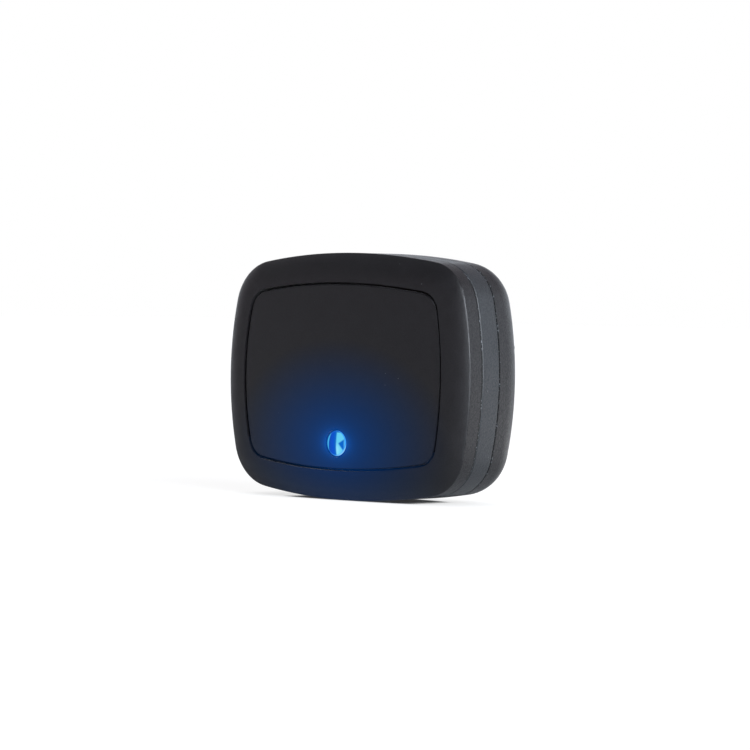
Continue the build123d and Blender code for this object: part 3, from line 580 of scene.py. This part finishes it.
# The dome's arc is spun out from its apex, and then the whole profile round the pipe's axis
bm = bmesh.new()
dome_radius = (lens_radius**2 + lens_crown**2) / (2 * lens_crown)
apex = bm.verts.new((lens_x, lens_front, lens_z))
dome = bmesh.ops.spin(
    bm, geom=[apex], cent=(lens_x, lens_front + dome_radius, lens_z), axis=(0, 0, 1),
    angle=math.asin(lens_radius / dome_radius), steps=dome_steps,
)
corner = dome["geom_last"][0]
for radius, depth in (
    (lens_radius, flange_front), (flange_radius, flange_front), (flange_radius, flange_back),
    (pipe_radius, flange_back), (pipe_radius, pipe_end), (0, pipe_end),
):
    next_corner = bm.verts.new((lens_x + radius, depth, lens_z))
    bm.edges.new((corner, next_corner))
    corner = next_corner
bmesh.ops.spin(
    bm, geom=bm.verts[:] + bm.edges[:], cent=(lens_x, 0, lens_z), axis=(0, 1, 0),
    angle=2 * math.pi, steps=turn_steps, use_merge=True,
)
bmesh.ops.remove_doubles(bm, verts=bm.verts, dist=1e-7)
bmesh.ops.recalc_face_normals(bm, faces=bm.faces)
for face in bm.faces:
    face.smooth = True
for edge in bm.edges:
    edge.smooth = edge.calc_face_angle(0) < crease
mesh = bpy.data.meshes.new("lens_and_pipe")
bm.to_mesh(mesh)
bm.free()
mesh.materials.append(lens_acrylic)
lens_and_pipe = bpy.data.objects.new("lens_and_pipe", mesh)
scene.collection.objects.link(lens_and_pipe)
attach(lens_and_pipe, "housing")
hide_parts("light_pipe")

# Seals and boot: moulded silicone rings in both seams and a washer round the plunger, translucent
# grey-black and slightly dusty, with no gloss but a soft sheen.


def moulded(name, colour, roughness, grain=0.0004, relief=0.000008, tone=0.12, sheen=0.0):
    """Plain moulded plastic or rubber: its grain and relief are in metres."""
    material, tree = empty_material(name)
    place = add_node(tree, "ShaderNodeTexCoord").outputs["Object"]
    skin = add_node(tree, "ShaderNodeTexNoise", {
        "Vector": place, "Scale": 1 / grain, "Detail": 4.0, "Roughness": 0.6,
    }).outputs["Fac"]
    shade = add_node(tree, "ShaderNodeMapRange", {
        "Value": skin, "From Min": noise_low, "From Max": noise_high,
        "To Min": 1 - tone, "To Max": 1 + tone,
    })
    dyed = add_node(tree, "ShaderNodeMix", {
        0: 1.0, 6: linear(colour), 7: shade.outputs["Result"],
    }, data_type="RGBA", blend_type="MULTIPLY")
    gloss = add_node(tree, "ShaderNodeMapRange", {
        "Value": skin, "From Min": noise_low, "From Max": noise_high,
        "To Min": roughness - 0.06, "To Max": roughness + 0.06,
    })
    texture = add_node(tree, "ShaderNodeBump", {"Height": skin, "Distance": relief})
    surface = add_node(tree, "ShaderNodeBsdfPrincipled", {
        "Base Color": dyed.outputs[2], "Roughness": gloss.outputs["Result"], "IOR": 1.5,
        "Sheen Weight": sheen, "Normal": texture.outputs["Normal"],
    })
    add_node(tree, "ShaderNodeOutputMaterial", {"Surface": surface.outputs[0]})
    return material


def dress(material, *node_names):
    """Gives the material to CAD nodes that keep their own meshes."""
    for node_name in node_names:
        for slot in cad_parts[node_name].material_slots:
            slot.material = material


silicone = moulded("moulded_silicone", "#3a3c3f", 0.6, sheen=0.3)
dress(silicone, "front_seal", "rear_seal", "button_boot")

# Main board: glass-epoxy laminate under a dark green solder mask, with the copper tracks showing
# through as lighter lines and gold-plated vias as dots.
track_pitch, track_width, track_height = 0.0011, 0.00009, 0.00002
via_pitch, via_size, weave_pitch = 0.0023, 0.09, 0.0004
board_laminate, tree = empty_material("solder_masked_glass_epoxy")
place = add_node(tree, "ShaderNodeTexCoord").outputs["Object"]
flat = add_node(tree, "ShaderNodeMapping", {"Vector": place, "Rotation": (math.pi / 2, 0, 0)})
tracks = add_node(tree, "ShaderNodeTexBrick", {
    "Vector": flat.outputs[0], "Color1": linear("#0d3a26"), "Color2": linear("#0f3f2a"),
    "Mortar": linear("#1c5c3c"), "Scale": 1.0, "Mortar Size": track_width,
    "Brick Width": 6 * track_pitch, "Row Height": track_pitch,
}, offset=0.37)
vias = add_node(tree, "ShaderNodeTexVoronoi", {"Vector": place, "Scale": 1 / via_pitch})
via = add_node(tree, "ShaderNodeMath", {
    0: vias.outputs["Distance"], 1: via_size,
}, operation="LESS_THAN")
masked = add_node(tree, "ShaderNodeMix", {
    0: via.outputs[0], 6: tracks.outputs["Color"], 7: linear("#c8a24a"),
}, data_type="RGBA")
weave = add_node(tree, "ShaderNodeTexNoise", {
    "Vector": place, "Scale": 1 / weave_pitch, "Detail": 2.0,
})
board_bump = add_node(tree, "ShaderNodeBump", {
    "Height": tracks.outputs["Fac"], "Strength": 0.4, "Distance": track_height,
})
mask_gloss = add_node(tree, "ShaderNodeMapRange", {
    "Value": weave.outputs["Fac"], "To Min": 0.25, "To Max": 0.4,
})
surface = add_node(tree, "ShaderNodeBsdfPrincipled", {
    "Base Color": masked.outputs[2], "Metallic": via.outputs[0], "IOR": 1.55,
    "Roughness": mask_gloss.outputs["Result"], "Normal": board_bump.outputs["Normal"],
})
add_node(tree, "ShaderNodeOutputMaterial", {"Surface": surface.outputs[0]})
dress(board_laminate, "main_board")

# Tactile switch and its stem: black glass-filled nylon body, soldered to the board, and a paler
# acetal stem that the plunger presses. Both are dull, with the stem slightly waxy.
dress(moulded("glass_filled_nylon", "#1b1b1d", 0.45), "tact_switch")
dress(moulded("acetal_stem", "#c9c6bd", 0.35, tone=0.04), "switch_stem")

# Indicator lamp: white moulded polyamide case, soldered to the board behind the light pipe. Its
# blue die shows as a lit round window in the front.
lamp_low, lamp_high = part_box("indicator_led")
lamp_centre = Vector(lamp_low).lerp(Vector(lamp_high), 0.5)
lamp_window, case_grain = 0.001, 0.001 / 3
lamp_case, tree = empty_material("lit_white_polyamide")
place = add_node(tree, "ShaderNodeTexCoord").outputs["Object"]
from_die = add_node(tree, "ShaderNodeVectorMath", {
    0: place, 1: (lamp_centre.x, lamp_low[1], lamp_centre.z),
}, operation="DISTANCE")
lit_die = add_node(tree, "ShaderNodeMapRange", {
    "Value": from_die.outputs["Value"], "From Min": 0.6 * lamp_window, "From Max": lamp_window,
    "To Min": 1.0, "To Max": 0.0,
})
speckle = add_node(tree, "ShaderNodeTexNoise", {"Vector": place, "Scale": 1 / case_grain})
case_white = add_node(tree, "ShaderNodeMix", {
    0: speckle.outputs["Fac"], 6: linear("#e4e2da"), 7: linear("#f0eee8"),
}, data_type="RGBA")
die_blue = add_node(tree, "ShaderNodeMix", {
    0: lit_die.outputs["Result"], 6: linear("#000000"), 7: linear("#2f9bff"),
}, data_type="RGBA")
surface = add_node(tree, "ShaderNodeBsdfPrincipled", {
    "Base Color": case_white.outputs[2], "Roughness": 0.4, "IOR": 1.5,
    "Emission Color": die_blue.outputs[2], "Emission Strength": 1.0,
})
add_node(tree, "ShaderNodeOutputMaterial", {"Surface": surface.outputs[0]})
dress(lamp_case, "indicator_led")

# Satellite antenna: fired ceramic block, buff coloured and finely speckled, with a silver film
# printed on its face inside a bare ceramic margin.
patch_low, patch_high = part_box("satellite_antenna")
patch_centre = Vector(patch_low).lerp(Vector(patch_high), 0.5)
patch_half = (patch_high[0] - patch_low[0]) / 2
ceramic_margin, film_depth = 0.0008, 0.00005
fired_grain, fired_relief = 0.001 / 3.3, 0.000006
patch_ceramic, tree = empty_material("silvered_fired_ceramic")
place = add_node(tree, "ShaderNodeTexCoord").outputs["Object"]
from_patch = add_node(tree, "ShaderNodeVectorMath", {
    0: place, 1: (patch_centre.x, patch_low[1], patch_centre.z),
}, operation="SUBTRACT")
outward = add_node(tree, "ShaderNodeVectorMath", {0: from_patch.outputs[0]}, operation="ABSOLUTE")
spread = add_node(tree, "ShaderNodeSeparateXYZ", {"Vector": outward.outputs[0]})
furthest = add_node(tree, "ShaderNodeMath", {
    0: spread.outputs["X"], 1: spread.outputs["Z"],
}, operation="MAXIMUM")
in_margin = add_node(tree, "ShaderNodeMath", {
    0: furthest.outputs[0], 1: patch_half - ceramic_margin,
}, operation="LESS_THAN")
on_face = add_node(tree, "ShaderNodeMath", {
    0: spread.outputs["Y"], 1: film_depth,
}, operation="LESS_THAN")
silvered = add_node(tree, "ShaderNodeMath", {
    0: in_margin.outputs[0], 1: on_face.outputs[0],
}, operation="MULTIPLY")
fired = add_node(tree, "ShaderNodeTexNoise", {
    "Vector": place, "Scale": 1 / fired_grain, "Detail": 3.0,
})
buff = add_node(tree, "ShaderNodeMix", {
    0: fired.outputs["Fac"], 6: linear("#a98f6c"), 7: linear("#c7b08c"),
}, data_type="RGBA")
coated = add_node(tree, "ShaderNodeMix", {
    0: silvered.outputs[0], 6: buff.outputs[2], 7: linear("#d6d3cb"),
}, data_type="RGBA")
fired_bump = add_node(tree, "ShaderNodeBump", {
    "Height": fired.outputs["Fac"], "Distance": fired_relief,
})
surface = add_node(tree, "ShaderNodeBsdfPrincipled", {
    "Base Color": coated.outputs[2], "Metallic": silvered.outputs[0], "Roughness": 0.45,
    "Normal": fired_bump.outputs["Normal"],
})
add_node(tree, "ShaderNodeOutputMaterial", {"Surface": surface.outputs[0]})
dress(patch_ceramic, "satellite_antenna")

# Metalwork inside: drawn tin-plated cans over the radio and the receiver, a pressed stainless
# card holder and a folded brass aerial strip. Rolling leaves fine streaks along each.


def worked_metal(name, colour, roughness, lay=(1, 1, 1), grain=0.00025, relief=0.000003):
    """Worked metal: lay stretches its marks along an axis, and grain and relief are in metres."""
    material, tree = empty_material(name)
    place = add_node(tree, "ShaderNodeTexCoord").outputs["Object"]
    laid = add_node(tree, "ShaderNodeMapping", {"Vector": place, "Scale": lay})
    marks = add_node(tree, "ShaderNodeTexNoise", {
        "Vector": laid.outputs[0], "Scale": 1 / grain, "Detail": 4.0, "Roughness": 0.6,
    }).outputs["Fac"]
    tone = add_node(tree, "ShaderNodeMapRange", {
        "Value": marks, "From Min": noise_low, "From Max": noise_high,
        "To Min": 0.88, "To Max": 1.08,
    })
    tinted = add_node(tree, "ShaderNodeMix", {
        0: 1.0, 6: linear(colour), 7: tone.outputs["Result"],
    }, data_type="RGBA", blend_type="MULTIPLY")
    polish = add_node(tree, "ShaderNodeMapRange", {
        "Value": marks, "From Min": noise_low, "From Max": noise_high,
        "To Min": roughness - 0.06, "To Max": roughness + 0.08,
    })
    scored = add_node(tree, "ShaderNodeBump", {"Height": marks, "Distance": relief})
    surface = add_node(tree, "ShaderNodeBsdfPrincipled", {
        "Base Color": tinted.outputs[2], "Metallic": 1.0,
        "Roughness": polish.outputs["Result"], "Normal": scored.outputs["Normal"],
    })
    add_node(tree, "ShaderNodeOutputMaterial", {"Surface": surface.outputs[0]})
    return material


rolled_lay = (0.1, 1, 1)
tin_plate = worked_metal("drawn_tin_plated_steel", "#c4c5c4", 0.3, lay=rolled_lay)
dress(tin_plate, "cellular_module", "satellite_receiver")
stainless = worked_metal("pressed_stainless_steel", "#b9b8b5", 0.32, lay=rolled_lay)
dress(stainless, "sim_holder")
brass = worked_metal("rolled_brass", "#d0ab5e", 0.28, lay=rolled_lay)
dress(brass, "cellular_antenna")

# Sounder and motion sensor: the sounder is a black moulded case with a sound port, and the
# sensor a black epoxy chip, ground flat and slightly speckled by its glass filler.
dress(moulded("moulded_sounder_case", "#17171a", 0.5), "sounder")
chip_epoxy = moulded("epoxy_moulding_compound", "#1e1f21", 0.55, grain=0.00015, tone=0.25)
dress(chip_epoxy, "motion_sensor")

# SIM card: white printed plastic with a gold-plated contact block of eight fields on the side
# that faces the board. It is held in its holder by the contacts' springs.
card_low, card_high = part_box("sim_card")
card_centre = Vector(card_low).lerp(Vector(card_high), 0.5)
contact_block, contact_gap, plating_depth = 0.0042, 0.0001, 0.0001
sim_plastic, tree = empty_material("gold_contacted_card_plastic")
place = add_node(tree, "ShaderNodeTexCoord").outputs["Object"]
centred = add_node(tree, "ShaderNodeVectorMath", {
    0: place, 1: (card_centre.x, card_low[1], card_centre.z),
}, operation="SUBTRACT")
outward = add_node(tree, "ShaderNodeVectorMath", {0: centred.outputs[0]}, operation="ABSOLUTE")
inset = add_node(tree, "ShaderNodeSeparateXYZ", {"Vector": outward.outputs[0]})
furthest = add_node(tree, "ShaderNodeMath", {
    0: inset.outputs["X"], 1: inset.outputs["Z"],
}, operation="MAXIMUM")
in_block = add_node(tree, "ShaderNodeMath", {
    0: furthest.outputs[0], 1: contact_block,
}, operation="LESS_THAN")
turned = add_node(tree, "ShaderNodeMapping", {
    "Vector": centred.outputs[0], "Rotation": (math.pi / 2, 0, 0),
})
fields = add_node(tree, "ShaderNodeTexBrick", {
    "Vector": turned.outputs[0], "Color1": (1, 1, 1, 1), "Color2": (1, 1, 1, 1),
    "Mortar": (0, 0, 0, 1), "Scale": 1.0, "Mortar Size": contact_gap,
    "Brick Width": contact_block, "Row Height": contact_block / 2,
}, offset=0.0)
gold_here = add_node(tree, "ShaderNodeMath", {
    0: in_block.outputs[0], 1: fields.outputs["Color"],
}, operation="MULTIPLY")
towards_board = add_node(tree, "ShaderNodeMath", {
    0: inset.outputs["Y"], 1: plating_depth,
}, operation="LESS_THAN")
gold_field = add_node(tree, "ShaderNodeMath", {
    0: gold_here.outputs[0], 1: towards_board.outputs[0],
}, operation="MULTIPLY")
card_face = add_node(tree, "ShaderNodeMix", {
    0: gold_field.outputs[0], 6: linear("#e9e8e3"), 7: linear("#d6af57"),
}, data_type="RGBA")
surface = add_node(tree, "ShaderNodeBsdfPrincipled", {
    "Base Color": card_face.outputs[2], "Metallic": gold_field.outputs[0], "Roughness": 0.3,
})
add_node(tree, "ShaderNodeOutputMaterial", {"Surface": surface.outputs[0]})
dress(sim_plastic, "sim_card")

# Battery: lithium pouch in aluminium laminate, slightly puckered by the press, held to the rear
# wall by a strip of grey foam tape, with a white nylon plug at the end of its leads.
pouch_foil = worked_metal("aluminium_laminate_foil", "#a9adb1", 0.38, grain=0.0016, relief=0.00004)
dress(pouch_foil, "battery_cell")
foam_tape = moulded(
    "acrylic_foam_tape", "#5d6063", 0.85, grain=0.0003, relief=0.00003, tone=0.2,
)
dress(foam_tape, "battery_pad")
dress(moulded("moulded_nylon_plug", "#e6e2d6", 0.45, tone=0.04), "battery_plug")

# Battery leads: stranded wires in extruded silicone, red for the positive pole and black for the
# negative one, with the extruder's faint bands round them.
plug_low, plug_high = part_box("battery_plug")
band_pitch, band_relief = 0.00025, 0.000008
lead_silicone, tree = empty_material("extruded_silicone_insulation")
place = add_node(tree, "ShaderNodeTexCoord").outputs["Object"]
sides = add_node(tree, "ShaderNodeSeparateXYZ", {"Vector": place})
red_side = add_node(tree, "ShaderNodeMath", {
    0: sides.outputs["X"], 1: (plug_low[0] + plug_high[0]) / 2,
}, operation="GREATER_THAN")
bands = add_node(tree, "ShaderNodeTexNoise", {"Vector": place, "Scale": 1 / band_pitch})
insulation = add_node(tree, "ShaderNodeMix", {
    0: red_side.outputs[0], 6: linear("#1c1c1e"), 7: linear("#a81d1a"),
}, data_type="RGBA")
bands_bump = add_node(tree, "ShaderNodeBump", {
    "Height": bands.outputs["Fac"], "Distance": band_relief,
})
surface = add_node(tree, "ShaderNodeBsdfPrincipled", {
    "Base Color": insulation.outputs[2], "Roughness": 0.5, "Normal": bands_bump.outputs["Normal"],
})
add_node(tree, "ShaderNodeOutputMaterial", {"Surface": surface.outputs[0]})
dress(lead_silicone, "battery_leads")

# Charging contacts: turned brass under hard gold, with faint turning rings on their faces. The
# rear pads show outside, so they are copied smooth, and the spring pins behind them are not.
contact_low, contact_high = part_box("contact_pads")
contact_z = (contact_low[2] + contact_high[2]) / 2
contact_radius = (contact_high[2] - contact_low[2]) / 2
contact_x = contact_high[0] - contact_radius
turning_pitch, turning_relief = 0.00022, 0.000004
hard_gold, tree = empty_material("turned_hard_gold")
place = add_node(tree, "ShaderNodeTexCoord").outputs["Object"]
halves = add_node(tree, "ShaderNodeSeparateXYZ", {"Vector": place})
both_sides = add_node(tree, "ShaderNodeMath", {0: halves.outputs["X"]}, operation="ABSOLUTE")
folded = add_node(tree, "ShaderNodeCombineXYZ", {
    "X": both_sides.outputs[0], "Z": halves.outputs["Z"],
})
about_axis = add_node(tree, "ShaderNodeVectorMath", {
    0: folded.outputs[0], 1: (contact_x, 0, contact_z),
}, operation="SUBTRACT")
# A wave texture's rings are pi / 10 apart at a scale of 1
rings = add_node(tree, "ShaderNodeTexWave", {
    "Vector": about_axis.outputs[0], "Scale": math.pi / 10 / turning_pitch, "Distortion": 0.6,
}, wave_type="RINGS", rings_direction="Y")
ring_gloss = add_node(tree, "ShaderNodeMapRange", {
    "Value": rings.outputs["Fac"], "To Min": 0.2, "To Max": 0.34,
})
ring_bump = add_node(tree, "ShaderNodeBump", {
    "Height": rings.outputs["Fac"], "Strength": 0.5, "Distance": turning_relief,
})
surface = add_node(tree, "ShaderNodeBsdfPrincipled", {
    "Base Color": linear("#e2b65a"), "Metallic": 1.0, "Roughness": ring_gloss.outputs["Result"],
    "Normal": ring_bump.outputs["Normal"],
})
add_node(tree, "ShaderNodeOutputMaterial", {"Surface": surface.outputs[0]})
smooth_copy("contact_pads", "housing", hard_gold, ease=0.00008)
dress(hard_gold, "contact_springs")

# Magnets: sintered and nickel-plated discs, glued in pockets behind the charging face. The
# plating is bright but slightly pitted.
plated_magnet = worked_metal("nickel_plated_magnet", "#bdb9b2", 0.22, grain=0.0005)
dress(plated_magnet, "charging_magnets")

# Screws: the four housing screws are black-oxide steel with hexagon sockets, set deep in the rear
# shell, and the two board screws behind the board are zinc plated.
black_oxide = worked_metal("black_oxide_steel", "#3b3b3e", 0.4)
smooth_copy("housing_screws", "housing", black_oxide, ease=0.00008)
dress(worked_metal("zinc_plated_steel", "#b7bcc0", 0.35), "board_screws")

# Collar clip: glass-filled nylon arm with a ribbed thumb tab, moulded in a spark-eroded tool that
# leaves an even grain. Its edges are slightly rounded, and its ends sit between the ears.
clip_nylon = soft_touch("moulded_glass_filled_nylon", "#1b1b1c", 0.46)
smooth_copy("collar_clip", "clip", clip_nylon)

# Grip pad: ribbed strip of moulded rubber, glued into the arm where it presses on the strap. It
# is dull, and faintly dusty between its ribs.
pad_rubber = moulded("moulded_rubber", "#19191a", 0.75, relief=0.00002, tone=0.25, sheen=0.25)
smooth_copy("grip_pad", "clip", pad_rubber, ease=0.0001)

# Clip pin: stainless rod, centreless ground and pressed through both ears. Fine grinding marks
# run round it.
ground_steel = worked_metal("ground_stainless_steel", "#c2c1be", 0.22, lay=(1, 1, 4))
smooth_copy("clip_pin", "housing", ground_steel, ease=0.00012)
